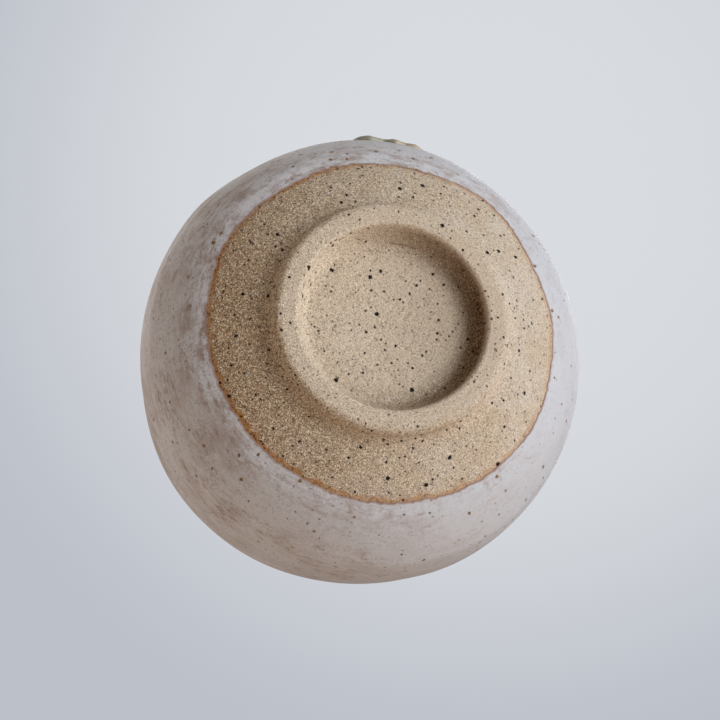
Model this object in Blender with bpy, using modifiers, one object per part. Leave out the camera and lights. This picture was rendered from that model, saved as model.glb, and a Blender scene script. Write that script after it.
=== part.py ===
"""Hand-thrown tea bowl with a turned foot, a dipped outer glaze and a poured inner glaze.

The bowl stands on its foot ring at z = 0, its axis is +Z and the origin is the centre of the foot.
Lengths are in metres. Angles run anticlockwise from +X, seen from above.
"""

import math

import bmesh
import bpy

MM = 0.001

# Clay body: the outer wall
BODY_HEIGHT = 74.0 * MM
BELLY_RADIUS = 61.5 * MM
BELLY_HEIGHT = 43.5 * MM
UNDERSIDE_DROP = 4.2 * MM
UNDERSIDE_FULLNESS = 2.5
LIP_RADIUS = 58.6 * MM
LIP_THICKNESS = 4.0 * MM
WAIST_DEPTH = 0.5 * MM

# Clay body: the inside
WALL_AT_BELLY = 4.8 * MM
FLOOR_THICKNESS = 5.7 * MM
INNER_FULLNESS = 2.7
POOL_RADIUS = 20.0 * MM
POOL_DEPTH = 1.3 * MM
POOL_SLOPE = 7.0 * MM

# Turning ridge round the wall, where the turning tool stopped
RIDGE_HEIGHT = 29.0 * MM
RIDGE_RISE = 0.45 * MM
RIDGE_WIDTH = 2.4 * MM

# Foot ring
FOOT_SEAT_HEIGHT = 6.0 * MM
FOOT_OUTER_RADIUS = 31.8 * MM
FOOT_LAND_WIDTH = 3.4 * MM
FOOT_OUTER_ROUND = 2.2 * MM
FOOT_INNER_ROUND = 0.7 * MM
FOOT_COVE_WIDTH = 4.2 * MM
INNER_ROUND_DROP = 0.45
COVE_TIP = 0.25 * MM

# Recess inside the foot: a steep wall below the ring's inner lip, then a dished floor
RECESS_DEPTH = 7.0 * MM
RECESS_WALL_WIDTH = 4.4 * MM
RECESS_WALL_EASE = 0.65
RECESS_DISH = 1.2 * MM
RECESS_STOPS = (0.0, 0.35, 0.6, 0.8, 0.92, 1.0)

# Glazes
GLAZE_THICKNESS = 0.7 * MM
GLAZE_EDGE_THICKNESS = 0.4 * MM
GLAZE_LINE_HEIGHT = 12.3 * MM
GLAZE_LIP_OVERLAP = 5.0 * MM
FIT_GAP = 0.3 * MM
GLAZE_EDGE_FADE = 2.5 * MM
EDGE_FADE_HEIGHT = 9.0 * MM
EDGE_WAVES = (
    (1, 0.15 * MM, 120.0),
    (3, 0.39 * MM, 51.0),
    (4, 0.32 * MM, 80.0),
    (5, 0.15 * MM, 37.0),
    (6, 0.14 * MM, 1.0),
    (7, 0.22 * MM, 21.0),
    (8, 0.18 * MM, 36.0),
    (9, 0.10 * MM, 14.0),
    (10, 0.10 * MM, 1.0),
)

# Hand-made wobble of the wall: (waves round the bowl, size, angle of a crest)
WALL_WAVES = ((2, 0.30 * MM, 65.0), (3, 0.25 * MM, 330.0), (5, 0.16 * MM, 20.0))
LIP_WAVES = ((2, 0.35 * MM, 110.0), (3, 0.30 * MM, 10.0))
WOBBLE_START = 22.0 * MM

# Zone below the turning ridge, cut deeper on some sides
TURNED_WAVES = (
    (0, -0.20 * MM, 0.0),
    (1, 0.22 * MM, 50.0),
    (2, 0.32 * MM, 154.0),
    (3, 0.24 * MM, 39.0),
    (4, 0.17 * MM, 55.0),
    (5, 0.11 * MM, 70.0),
)
TURNED_START = 14.0 * MM
TURNED_BLEND = 8.0 * MM

# Soft bulges of the wall: (angle, spread in degrees, height, reach up and down, rise)
BULGES = ((88.0, 10.0, 38.0 * MM, 9.0 * MM, 0.5 * MM), (292.0, 21.0, 52.0 * MM, 24.0 * MM, 1.0 * MM))

# Run of ash glaze down the outside
RUN_ANGLE = 144.5
RUN_HALF_WIDTH = 12.0
RUN_TOP = 69.0 * MM
RUN_BOTTOM = 28.0 * MM
RUN_THICKNESS = 0.9 * MM
RUN_BEAD = 1.9 * MM
RUN_BEAD_REACH = 7.0 * MM
RUN_SQUARENESS = 3.5
RUN_LOBES = 0.03
RUN_LOBE_SPACING = 0.9
RUN_LOBE_PLACE = -0.7
RUN_LOBE_FADE = 0.4
RUN_EDGE_FULLNESS = 0.4

# Facets
TURNS = 60
LOWER_WALL_STEPS = 9
UPPER_WALL_STEPS = 4
LIP_STEPS = 4
INNER_STEPS = 10
ROUND_STEPS = 3
SLOPE_STEPS = 4
SEAT_STEPS = 4
RUN_SEGMENTS = 20
RUN_RINGS = 12
MERGE_DISTANCE = 0.00001

PARTS_COLLECTION = "tea_bowl"


def smooth(value):
    """Ease from 0 to 1 with level ends; values outside are held."""
    t = min(1.0, max(0.0, value))
    return t * t * (3.0 - 2.0 * t)


def underside_depth():
    """Depth of the lower wall's curve below the belly, past the seat of the foot."""
    return BELLY_HEIGHT - FOOT_SEAT_HEIGHT + UNDERSIDE_DROP


def ridge(height):
    """Outward rise of the turning ridge at a height."""
    return RIDGE_RISE * math.exp(-(((height - RIDGE_HEIGHT) / RIDGE_WIDTH) ** 2))


def recess_lip():
    """Radius and height of the recess's upper edge, where the land's inner round ends."""
    radius = FOOT_OUTER_RADIUS - FOOT_OUTER_ROUND - FOOT_LAND_WIDTH - FOOT_INNER_ROUND
    return radius, FOOT_INNER_ROUND * INNER_ROUND_DROP


def recess_height(radius):
    """Height of the recess's surface at a radius: an S curve up the wall, then the dish."""
    lip, drop = recess_lip()
    inward = max(0.0, (lip - radius) / RECESS_WALL_WIDTH) ** RECESS_WALL_EASE
    dish = RECESS_DISH * (1.0 - smooth(radius / (lip - RECESS_WALL_WIDTH)))
    return drop + (RECESS_DEPTH - drop) * smooth(inward) + dish


def recess_radius(height):
    """Radius of the recess's wall at a height: the same S curve, read the other way."""
    lip, drop = recess_lip()
    share = min(1.0, (height - drop) / (RECESS_DEPTH - drop))
    inward = 0.5 - math.sin(math.asin(1.0 - 2.0 * share) / 3.0)
    return lip - RECESS_WALL_WIDTH * inward ** (1.0 / RECESS_WALL_EASE)


def wall_height(radius):
    """Height of the clay's outer surface at a radius: a superellipse, the foot's flat seat, the recess."""
    share = min(1.0, radius / BELLY_RADIUS) ** UNDERSIDE_FULLNESS
    curved = BELLY_HEIGHT - underside_depth() * (1.0 - share) ** (1.0 / UNDERSIDE_FULLNESS)
    return max(curved, FOOT_SEAT_HEIGHT, recess_height(radius))


def wall_radius(height):
    """Radius of the clay's outer surface at a height from the foot's seat up to the belly."""
    share = (max(0.0, BELLY_HEIGHT - height) / underside_depth()) ** UNDERSIDE_FULLNESS
    return BELLY_RADIUS * (1.0 - share) ** (1.0 / UNDERSIDE_FULLNESS)


def outer_curve():
    """Clay outside from the centre of the underside up to the foot of the lip's round."""
    recess = recess_radius(FOOT_SEAT_HEIGHT)
    points = [(recess * stop, recess_height(recess * stop)) for stop in RECESS_STOPS]
    seat_share = (BELLY_HEIGHT - FOOT_SEAT_HEIGHT) / underside_depth()
    start = math.asin(seat_share ** (UNDERSIDE_FULLNESS / 2.0))
    for i in range(LOWER_WALL_STEPS):
        angle = start * (1.0 - i / LOWER_WALL_STEPS)
        radius = BELLY_RADIUS * math.cos(angle) ** (2.0 / UNDERSIDE_FULLNESS)
        height = BELLY_HEIGHT - underside_depth() * math.sin(angle) ** (2.0 / UNDERSIDE_FULLNESS)
        points.append((radius + ridge(height), height))
    top = BODY_HEIGHT - LIP_THICKNESS / 2.0
    for i in range(UPPER_WALL_STEPS + 1):
        t = i / UPPER_WALL_STEPS
        waist = WAIST_DEPTH * math.sin(math.pi * t) ** 2
        radius = BELLY_RADIUS + (LIP_RADIUS - BELLY_RADIUS) * t * t - waist
        height = BELLY_HEIGHT + (top - BELLY_HEIGHT) * t
        points.append((radius + ridge(height), height))
    return points


def lip_curve():
    """Half round over the lip, from the outer wall to the inner wall, ends left out."""
    round_radius = LIP_THICKNESS / 2.0
    centre = (LIP_RADIUS - round_radius, BODY_HEIGHT - round_radius)
    turns = [math.pi * i / LIP_STEPS for i in range(1, LIP_STEPS)]
    return [(centre[0] + round_radius * math.cos(a), centre[1] + round_radius * math.sin(a)) for a in turns]


def inner_curve():
    """Clay inside from the foot of the lip's round down to the centre of the tea pool."""
    belly = BELLY_RADIUS - WALL_AT_BELLY
    lip = LIP_RADIUS - LIP_THICKNESS
    top = BODY_HEIGHT - LIP_THICKNESS / 2.0
    depth = BELLY_HEIGHT - RECESS_DEPTH - FLOOR_THICKNESS
    points = []
    for i in range(UPPER_WALL_STEPS):
        t = 1.0 - i / UPPER_WALL_STEPS
        points.append((belly + (lip - belly) * t * t, BELLY_HEIGHT + (top - BELLY_HEIGHT) * t))
    for i in range(INNER_STEPS + 1):
        angle = math.pi / 2.0 * i / INNER_STEPS
        radius = belly * max(0.0, math.cos(angle)) ** (2.0 / INNER_FULLNESS)
        height = BELLY_HEIGHT - depth * math.sin(angle) ** (2.0 / INNER_FULLNESS)
        pool = POOL_DEPTH * (1.0 - smooth((radius - POOL_RADIUS + POOL_SLOPE) / POOL_SLOPE))
        points.append((0.0 if i == INNER_STEPS else radius, height - pool))
    return points


def offset(points, distances):
    """Move each point of a curve to the left of the way it runs; points on the axis stay on it."""
    moved = []
    for i, ((radius, height), distance) in enumerate(zip(points, distances)):
        before = points[max(0, i - 1)]
        after = points[min(len(points) - 1, i + 1)]
        run = (after[0] - before[0], after[1] - before[1])
        length = math.hypot(*run)
        if radius == 0.0:
            moved.append((0.0, height + distance))
        else:
            moved.append((radius - distance * run[1] / length, height + distance * run[0] / length))
    return moved


def wave(waves, angle):
    """Sum of cosine waves round the bowl at an angle in radians."""
    return sum(size * math.cos(count * (angle - math.radians(crest))) for count, size, crest in waves)


def bulge(angle, height):
    """Outward rise of the soft bulges of the wall at a place."""
    total = 0.0
    for crest, spread, middle, reach, rise in BULGES:
        round_the_bowl = ((math.degrees(angle) - crest + 180.0) % 360.0 - 180.0) / spread
        up_the_wall = (height - middle) / reach
        total += rise * math.exp(-(round_the_bowl ** 2) - up_the_wall ** 2)
    return total


def turned_share(height):
    """Share of the turned zone's waves at a height: full at the turning ridge, fading below and above."""
    below = smooth((height - TURNED_START) / (RIDGE_HEIGHT - TURNED_START))
    return below * (1.0 - smooth((height - RIDGE_HEIGHT) / TURNED_BLEND))


def hand_made(radius, angle, height):
    """Where the thrower's hand leaves a point of the true turned shape: (radius, height)."""
    ramp = smooth((height - WOBBLE_START) / (BODY_HEIGHT - WOBBLE_START))
    from_axis = min(1.0, radius / LIP_RADIUS)
    waves = wave(WALL_WAVES, angle) * ramp + wave(TURNED_WAVES, angle) * turned_share(height)
    shift = waves * from_axis + bulge(angle, height) * smooth(from_axis)
    return radius + shift, height + wave(LIP_WAVES, angle) * ramp * ramp


def parts_collection():
    """Empty the scene and give the collection that holds the pieces."""
    for item in list(bpy.data.objects):
        bpy.data.objects.remove(item, do_unlink=True)
    collection = bpy.data.collections.new(PARTS_COLLECTION)
    bpy.context.scene.collection.children.link(collection)
    return collection


def material(name, colour, roughness):
    """Plain principled material of one colour."""
    finish = bpy.data.materials.new(name)
    finish.use_nodes = True
    shader = finish.node_tree.nodes["Principled BSDF"]
    shader.inputs["Base Color"].default_value = (*colour, 1.0)
    shader.inputs["Roughness"].default_value = roughness
    shader.inputs["Metallic"].default_value = 0.0
    finish.diffuse_color = (*colour, 1.0)
    return finish


def turned(collection, name, profile, closed, finish):
    """Turn a profile round +Z with Screw, and keep the result as a mesh of its own."""
    mesh = bpy.data.meshes.new(name + "_profile")
    edges = [(i, i + 1) for i in range(len(profile) - 1)]
    if closed:
        edges.append((len(profile) - 1, 0))
    mesh.from_pydata([(radius, 0.0, height) for radius, height in profile], edges, [])
    item = bpy.data.objects.new(name, mesh)
    collection.objects.link(item)
    screw = item.modifiers.new("turn", "SCREW")
    screw.axis = "Z"
    screw.steps = TURNS
    screw.render_steps = TURNS
    screw.use_merge_vertices = True
    screw.merge_threshold = MERGE_DISTANCE
    evaluated = item.evaluated_get(bpy.context.evaluated_depsgraph_get())
    turned_mesh = bpy.data.meshes.new_from_object(evaluated)
    item.modifiers.clear()
    item.data = turned_mesh
    item.data.name = name
    bpy.data.meshes.remove(mesh)
    item.data.materials.clear()
    item.data.materials.append(finish)
    item.data.shade_smooth()
    return item


def reshape(item, rule):
    """Move each point of a turned piece by a rule on (radius, angle, height)."""
    for vertex in item.data.vertices:
        x, y, z = vertex.co
        radius = math.hypot(x, y)
        angle = math.atan2(y, x)
        radius, z = rule(radius, angle, z)
        vertex.co = (radius * math.cos(angle), radius * math.sin(angle), z)
    item.data.update()


def wavy_edge(radius, angle, height):
    """Slide the glaze along the wall so that its lower edge wanders, fading out up the wall."""
    fade = 1.0 - smooth((height - GLAZE_LINE_HEIGHT) / EDGE_FADE_HEIGHT)
    slide = wave(EDGE_WAVES, angle) * fade
    if slide == 0.0:
        return radius, height
    return radius + slide, height + wall_height(radius + slide) - wall_height(radius)


def make_body(collection):
    """Thrown stoneware wall and floor, one turned solid."""
    profile = list(reversed(inner_curve())) + list(reversed(lip_curve())) + list(reversed(outer_curve()))
    item = turned(collection, "bowl_body", profile, False, material("stoneware", (0.45, 0.36, 0.26), 0.85))
    reshape(item, hand_made)
    return item


def foot_profile():
    """Section of the foot ring: down the cove and outer side, across the land, up the inner slope."""
    land_outer = FOOT_OUTER_RADIUS - FOOT_OUTER_ROUND
    land_inner = land_outer - FOOT_LAND_WIDTH
    lip, lip_height = recess_lip()
    tip = FOOT_OUTER_RADIUS + FOOT_COVE_WIDTH
    cove_top = wall_height(tip) - FIT_GAP - COVE_TIP
    cove_height = cove_top - FOOT_OUTER_ROUND
    points = []
    for i in range(SLOPE_STEPS + 1):
        a = math.pi / 2.0 * i / SLOPE_STEPS
        points.append((tip - FOOT_COVE_WIDTH * math.sin(a), cove_top - cove_height * (1.0 - math.cos(a))))
    for i in range(1, ROUND_STEPS + 1):
        a = math.pi / 2.0 * i / ROUND_STEPS
        points.append((land_outer + FOOT_OUTER_ROUND * math.cos(a), FOOT_OUTER_ROUND * (1.0 - math.sin(a))))
    points.append((land_inner, 0.0))
    points.append(((land_inner + lip) / 2.0, lip_height / 3.0))
    slope_top = FOOT_SEAT_HEIGHT - FIT_GAP - COVE_TIP
    for i in range(SLOPE_STEPS + 1):
        height = lip_height + (slope_top - lip_height) * i / SLOPE_STEPS
        points.append((recess_radius(height), height))
    inner = recess_radius(slope_top)
    seat = wall_radius(FOOT_SEAT_HEIGHT)
    back = [inner + (tip - inner) * i / SEAT_STEPS for i in range(SEAT_STEPS + 1)]
    if inner < seat < tip:
        back.append(seat)
    points += [(radius, wall_height(radius) - FIT_GAP) for radius in sorted(back)]
    return points


def make_foot(collection):
    """Turned foot ring that seats under the floor of the bowl."""
    finish = material("turned_clay", (0.50, 0.41, 0.31), 0.85)
    return turned(collection, "foot_ring", foot_profile(), True, finish)


def glaze_skin(clay, thicknesses):
    """Closed section of a glaze coat on a clay curve: its face, then its back, a fit gap off the clay."""
    face = offset(clay, [FIT_GAP + thickness for thickness in thicknesses])
    back = offset(clay, [FIT_GAP] * len(clay))
    return face + list(reversed(back))


def overlap_point(height):
    """Point of the clay's inner wall at a height."""
    curve = inner_curve()
    for upper, lower in zip(curve, curve[1:]):
        if upper[1] >= height > lower[1]:
            t = (upper[1] - height) / (upper[1] - lower[1])
            return upper[0] + (lower[0] - upper[0]) * t, height
    return curve[0]


def make_outer_glaze(collection):
    """Dipped coat, from its wavy edge up the wall and over the lip."""
    meet = BODY_HEIGHT - GLAZE_LIP_OVERLAP
    inside = [point for point in inner_curve() if point[1] > meet]
    thin_end = GLAZE_LINE_HEIGHT + GLAZE_EDGE_FADE
    wall = [point for point in outer_curve() if point[1] > thin_end]
    ends = [(wall_radius(height), height) for height in (thin_end, GLAZE_LINE_HEIGHT)]
    clay = [overlap_point(meet)] + list(reversed(inside)) + list(reversed(lip_curve()))
    clay += list(reversed(wall)) + ends
    thicknesses = [GLAZE_THICKNESS] * (len(clay) - 1) + [GLAZE_EDGE_THICKNESS]
    finish = material("white_glaze", (0.62, 0.60, 0.58), 0.45)
    item = turned(collection, "outer_glaze", glaze_skin(clay, thicknesses), True, finish)
    reshape(item, wavy_edge)
    reshape(item, hand_made)
    return item


def make_inner_glaze(collection):
    """Poured liner coat, from below the lip down over the floor."""
    top = overlap_point(BODY_HEIGHT - GLAZE_LIP_OVERLAP - FIT_GAP)
    clay = [top] + [point for point in inner_curve() if point[1] < top[1] - FIT_GAP]
    clay = list(reversed(clay))
    finish = material("liner_glaze", (0.66, 0.64, 0.61), 0.4)
    item = turned(collection, "inner_glaze", glaze_skin(clay, [GLAZE_THICKNESS] * len(clay)), False, finish)
    reshape(item, hand_made)
    return item


def glaze_face_radius(height):
    """Radius of the outer glaze's face at a height on the wall, before the hand-made wobble."""
    clay = list(reversed(outer_curve()))
    face = offset(clay, [FIT_GAP + GLAZE_THICKNESS] * len(clay))
    for upper, lower in zip(face, face[1:]):
        if upper[1] >= height > lower[1]:
            t = (upper[1] - height) / (upper[1] - lower[1])
            return upper[0] + (lower[0] - upper[0]) * t
    return face[0][0]


def squarer(cosine, sine):
    """Stretch that turns a round outline into a rounded square one, in a direction."""
    return (abs(cosine) ** RUN_SQUARENESS + abs(sine) ** RUN_SQUARENESS) ** (-1.0 / RUN_SQUARENESS)


def make_ash_run(collection):
    """Run of ash glaze: a flattened ball laid on the glaze, thick at its lower end where it stopped."""
    mesh = bpy.data.meshes.new("ash_glaze_run")
    shape = bmesh.new()
    bmesh.ops.create_uvsphere(shape, u_segments=RUN_SEGMENTS, v_segments=RUN_RINGS, radius=1.0)
    middle = (RUN_TOP + RUN_BOTTOM) / 2.0
    half_height = (RUN_TOP - RUN_BOTTOM) / 2.0
    for vertex in shape.verts:
        flat = math.hypot(vertex.co.x, vertex.co.z)
        square = squarer(vertex.co.x / flat, vertex.co.z / flat) if flat > 0.0 else 1.0
        across, along, out = vertex.co.x * square, vertex.co.z * square, vertex.co.y
        from_lobe = across - RUN_LOBE_PLACE
        lobe = 1.0 + RUN_LOBES * math.cos(2.0 * math.pi * from_lobe / RUN_LOBE_SPACING)
        height = middle + half_height * along * (lobe if along < 0.0 else 1.0)
        angle = math.radians(RUN_ANGLE + RUN_HALF_WIDTH * across)
        bead = RUN_BEAD * math.exp(-(((height - RUN_BOTTOM) / RUN_BEAD_REACH) ** 2))
        thickness = RUN_THICKNESS + bead * (1.0 - RUN_LOBE_FADE * abs(from_lobe))
        fullness = max(0.0, -out) ** RUN_EDGE_FULLNESS
        radius = glaze_face_radius(height) + FIT_GAP + thickness * fullness
        radius, height = hand_made(radius, angle, height)
        vertex.co = (radius * math.cos(angle), radius * math.sin(angle), height)
    bmesh.ops.recalc_face_normals(shape, faces=shape.faces)
    shape.to_mesh(mesh)
    shape.free()
    mesh.materials.append(material("ash_glaze", (0.20, 0.22, 0.16), 0.3))
    mesh.shade_smooth()
    item = bpy.data.objects.new("ash_glaze_run", mesh)
    collection.objects.link(item)
    return item


def main():
    """Build the bowl."""
    collection = parts_collection()
    make_body(collection)
    make_foot(collection)
    make_outer_glaze(collection)
    make_inner_glaze(collection)
    make_ash_run(collection)


main()
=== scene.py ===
"""Looks of a hand-thrown stoneware tea bowl, seen from its foot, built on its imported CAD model.

Sizes are in millimetres and angles in degrees, anticlockwise from +X seen from above, as in the CAD.
Every surface is a section worked out with numpy and turned round +Z, then pushed in and out of true.
"""

from __future__ import annotations

import logging
import math
from dataclasses import dataclass, field
from enum import Enum, IntEnum
from functools import cached_property

import bpy
import numpy as np
from mathutils import Matrix, Vector


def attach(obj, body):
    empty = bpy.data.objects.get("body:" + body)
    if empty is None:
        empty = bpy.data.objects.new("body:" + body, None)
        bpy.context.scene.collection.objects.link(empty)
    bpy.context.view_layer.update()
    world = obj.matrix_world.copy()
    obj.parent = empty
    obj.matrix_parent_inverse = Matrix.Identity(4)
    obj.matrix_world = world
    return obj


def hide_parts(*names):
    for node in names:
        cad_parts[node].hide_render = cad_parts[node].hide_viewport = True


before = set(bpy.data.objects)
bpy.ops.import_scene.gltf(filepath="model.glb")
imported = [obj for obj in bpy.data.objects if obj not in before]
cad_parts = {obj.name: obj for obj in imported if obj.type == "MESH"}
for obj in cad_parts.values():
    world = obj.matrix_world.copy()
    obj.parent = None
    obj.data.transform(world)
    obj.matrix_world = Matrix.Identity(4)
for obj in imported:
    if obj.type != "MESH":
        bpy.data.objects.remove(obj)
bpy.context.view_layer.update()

LOG = logging.getLogger("tea_bowl")
MM = 0.001
BODY = "root"
# Distance from the glaze, in millimetres, that is past every effect of its edge.
FAR = 20.0
# Radius on which patterns that follow the wall are laid out, in millimetres.
LIE_RADIUS = 45.0
Array = np.ndarray
# Waves round the bowl: count, size in millimetres and angle of a crest in degrees.
Waves = tuple[tuple[int, float, float], ...]
# Layers of noise: width of a lump and its rise, in millimetres.
Layers = tuple[tuple[float, float], ...]
Socket = bpy.types.NodeSocket
EASED = {"interpolation_type": "SMOOTHSTEP"}


class Coat(Enum):
    """Names of the per-vertex values that the finishes read."""

    LIE = "lie_on_wall"
    BARE = "bare_from_glaze"
    GLAZED = "glazed_from_edge"
    THIN = "thin_glaze"


class Pattern(IntEnum):
    """Seeds of the noise patterns that shape the surfaces."""

    WALL_LUMPS = 3
    GLAZE_EDGE = 11
    TOOL_RINGS = 21
    CLAY_LUMPS = 31
    CLAY_PITS = 41
    FINGER_RINGS = 51
    FINE_RINGS = 52
    DIPPED_COAT = 53
    THIN_CLOUDS = 61
    LINER_RINGS = 71
    LINER_COAT = 72
    RUN_OUTLINE = 81
    RUN_LUMPS = 82
    RUN_RIPPLES = 83


def smooth(value: Array | float) -> Array:
    """Ease from 0 to 1 with level ends: three t squared less two t cubed, held outside 0 to 1."""
    t = np.clip(value, 0.0, 1.0)
    return t * t * (3.0 - 2.0 * t)


def linear(code: str) -> tuple[float, float, float, float]:
    """Turn an sRGB hex colour into the linear colour that shaders use.

    Args:
        code: Six hex digits after a hash sign.

    Returns:
        Linear red, green, blue and an alpha of 1.
    """
    shares = np.array([int(code[i : i + 2], 16) / 255.0 for i in (1, 3, 5)])
    straight = np.where(shares <= 0.04045, shares / 12.92, ((shares + 0.055) / 1.055) ** 2.4)
    return (*straight.tolist(), 1.0)


def cell_values(cell: Array, seed: int) -> Array:
    """Fixed random value for each whole-numbered cell, from its numbers multiplied and folded together.

    Args:
        cell: Whole numbers, three on the last axis.
        seed: Picks another set of values.

    Returns:
        Values from 0 to 1.
    """
    mixed = cell @ np.array([374761393, 668265263, 1442695041]) + seed * 974634777
    mixed = mixed & 0xFFFFFFFF
    mixed = ((mixed ^ (mixed >> 13)) * 1274126177) & 0xFFFFFFFF
    mixed = mixed ^ (mixed >> 16)
    return (mixed & 0xFFFF) / 65535.0


def lumps(points: Array, size: float | tuple[float, float, float], seed: int) -> Array:
    """Soft noise: the eight cell values round a point, blended along each axis by the smooth step.

    Args:
        points: Places in millimetres, three on the last axis.
        size: Width of a lump, or its width on each axis.
        seed: Picks another pattern.

    Returns:
        Values from -1 to 1.
    """
    scaled = points / np.asarray(size, dtype=float)
    base = np.floor(scaled)
    share = smooth(scaled - base)
    cell = base.astype(np.int64)
    total = np.zeros(points.shape[:-1])
    for corner in np.ndindex(2, 2, 2):
        at = np.array(corner)
        weight = np.prod(np.where(at == 1, share, 1.0 - share), axis=-1)
        total += weight * cell_values(cell + at, seed)
    return 2.0 * total - 1.0


def layers(points: Array, sizes: Layers, seed: int) -> Array:
    """Sum of noise in several widths, each with its rise and with a pattern of its own."""
    return sum(rise * lumps(points, size, seed + i) for i, (size, rise) in enumerate(sizes))


def waves(terms: Waves, angle: Array) -> Array:
    """Sum over the terms of size times the cosine of count times the angle from the crest."""
    return sum(size * np.cos(count * (angle - math.radians(crest))) for count, size, crest in terms)


def run_lengths(line: Array) -> Array:
    """Distance along a section line from its start to each of its points."""
    steps = np.hypot(*np.diff(line, axis=0).T)
    return np.concatenate([[0.0], np.cumsum(steps)])


def left_normals(line: Array) -> Array:
    """Unit vectors to the left of a section line at each point, from the run between its neighbours.

    Args:
        line: Radius and height of each point.

    Returns:
        Radial and upward part of each vector.
    """
    run = np.gradient(line, axis=0)
    length = np.hypot(run[:, 0], run[:, 1])
    return np.stack([-run[:, 1], run[:, 0]], axis=1) / length[:, None]


def at_lengths(line: Array, stops: Array) -> Array:
    """Points of a section line at given distances along it."""
    along = run_lengths(line)
    return np.stack([np.interp(stops, along, line[:, 0]), np.interp(stops, along, line[:, 1])], axis=1)


@dataclass
class TurnedGrid:
    """Grid of points, section rows by angles, that becomes one closed mesh.

    A row on the axis becomes one vertex. A closed grid also joins its last row to its first.
    """

    points: Array
    start_pole: bool = False
    end_pole: bool = False
    closed: bool = False
    values: dict[Coat, Array] = field(default_factory=dict)

    def flat(self, grid: Array) -> Array:
        """Grid values in vertex order: the rows between the poles, then the poles.

        Args:
            grid: Values, rows by angles.

        Returns:
            Values by vertex.
        """
        first = 1 if self.start_pole else 0
        last = len(grid) - 1 if self.end_pole else len(grid)
        width = grid.shape[2:]
        parts = [grid[first:last].reshape((-1, *width))]
        if self.start_pole:
            parts.append(grid[0].mean(axis=0).reshape((1, *width)))
        if self.end_pole:
            parts.append(grid[-1].mean(axis=0).reshape((1, *width)))
        return np.concatenate(parts)

    def corners(self) -> tuple[Array, Array]:
        """Four-cornered faces between the rows, and three-cornered ones round the poles.

        Returns:
            Vertex numbers of the four-cornered faces and of the others.
        """
        rows = len(self.points) - int(self.start_pole) - int(self.end_pole)
        columns = self.points.shape[1]
        index = np.arange(rows * columns).reshape(rows, columns)
        beside = np.roll(index, -1, axis=1)
        ring = [index, beside, np.roll(beside, -1, axis=0), np.roll(index, -1, axis=0)]
        joined = rows if self.closed else rows - 1
        quads = np.stack([corner[:joined] for corner in ring], axis=-1).reshape(-1, 4)
        fans = []
        pole = rows * columns
        if self.start_pole:
            fans.append(np.stack([np.full(columns, pole), beside[0], index[0]], axis=-1))
            pole += 1
        if self.end_pole:
            fans.append(np.stack([np.full(columns, pole), index[-1], beside[-1]], axis=-1))
        return quads, np.concatenate(fans) if fans else np.zeros((0, 3), dtype=int)

    def mesh(self, name: str) -> bpy.types.Mesh:
        """Make the mesh in metres, with its faces outward and its values as attributes.

        Args:
            name: Name of the new mesh.

        Returns:
            The mesh, shaded smooth.
        """
        places = self.flat(self.points) * MM
        quads, fans = self.corners()
        triangles = np.concatenate([quads[:, [0, 1, 2]], quads[:, [0, 2, 3]], fans])
        a, b, c = (places[triangles[:, i]] for i in range(3))
        if np.einsum("ij,ij->", a, np.cross(b, c)) < 0.0:
            quads, fans = quads[:, ::-1], fans[:, ::-1]
        mesh = bpy.data.meshes.new(name)
        mesh.vertices.add(len(places))
        mesh.vertices.foreach_set("co", places.ravel())
        mesh.loops.add(quads.size + fans.size)
        mesh.loops.foreach_set("vertex_index", np.concatenate([quads.ravel(), fans.ravel()]))
        starts = np.concatenate([np.arange(len(quads)) * 4, quads.size + np.arange(len(fans)) * 3])
        mesh.polygons.add(len(starts))
        mesh.polygons.foreach_set("loop_start", starts)
        mesh.update(calc_edges=True)
        for coat, grid in self.values.items():
            vector = grid.ndim == 3
            kind = "FLOAT_VECTOR" if vector else "FLOAT"
            layer = mesh.attributes.new(coat.value, kind, "POINT")
            layer.data.foreach_set("vector" if vector else "value", self.flat(grid).ravel())
        mesh.validate()
        mesh.shade_smooth()
        return mesh


def around(count: int) -> Array:
    """Evenly spaced angles round the bowl, in radians, as one row."""
    return np.linspace(0.0, 2.0 * math.pi, count, endpoint=False)[None, :]


def pushed(section: Array, rise: Array, normal: Array) -> tuple[Array, Array]:
    """Radius and height of section points that are pushed along their normals, angle by angle."""
    return section[:, :1] + rise * normal[:, :1], section[:, 1:] + rise * normal[:, 1:]


def places(radius: Array, angle: Array, height: Array) -> Array:
    """Points from radius, angle and height, three on the last axis."""
    radius, angle, height = np.broadcast_arrays(radius, angle, height)
    return np.stack([radius * np.cos(angle), radius * np.sin(angle), height], axis=-1)


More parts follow.
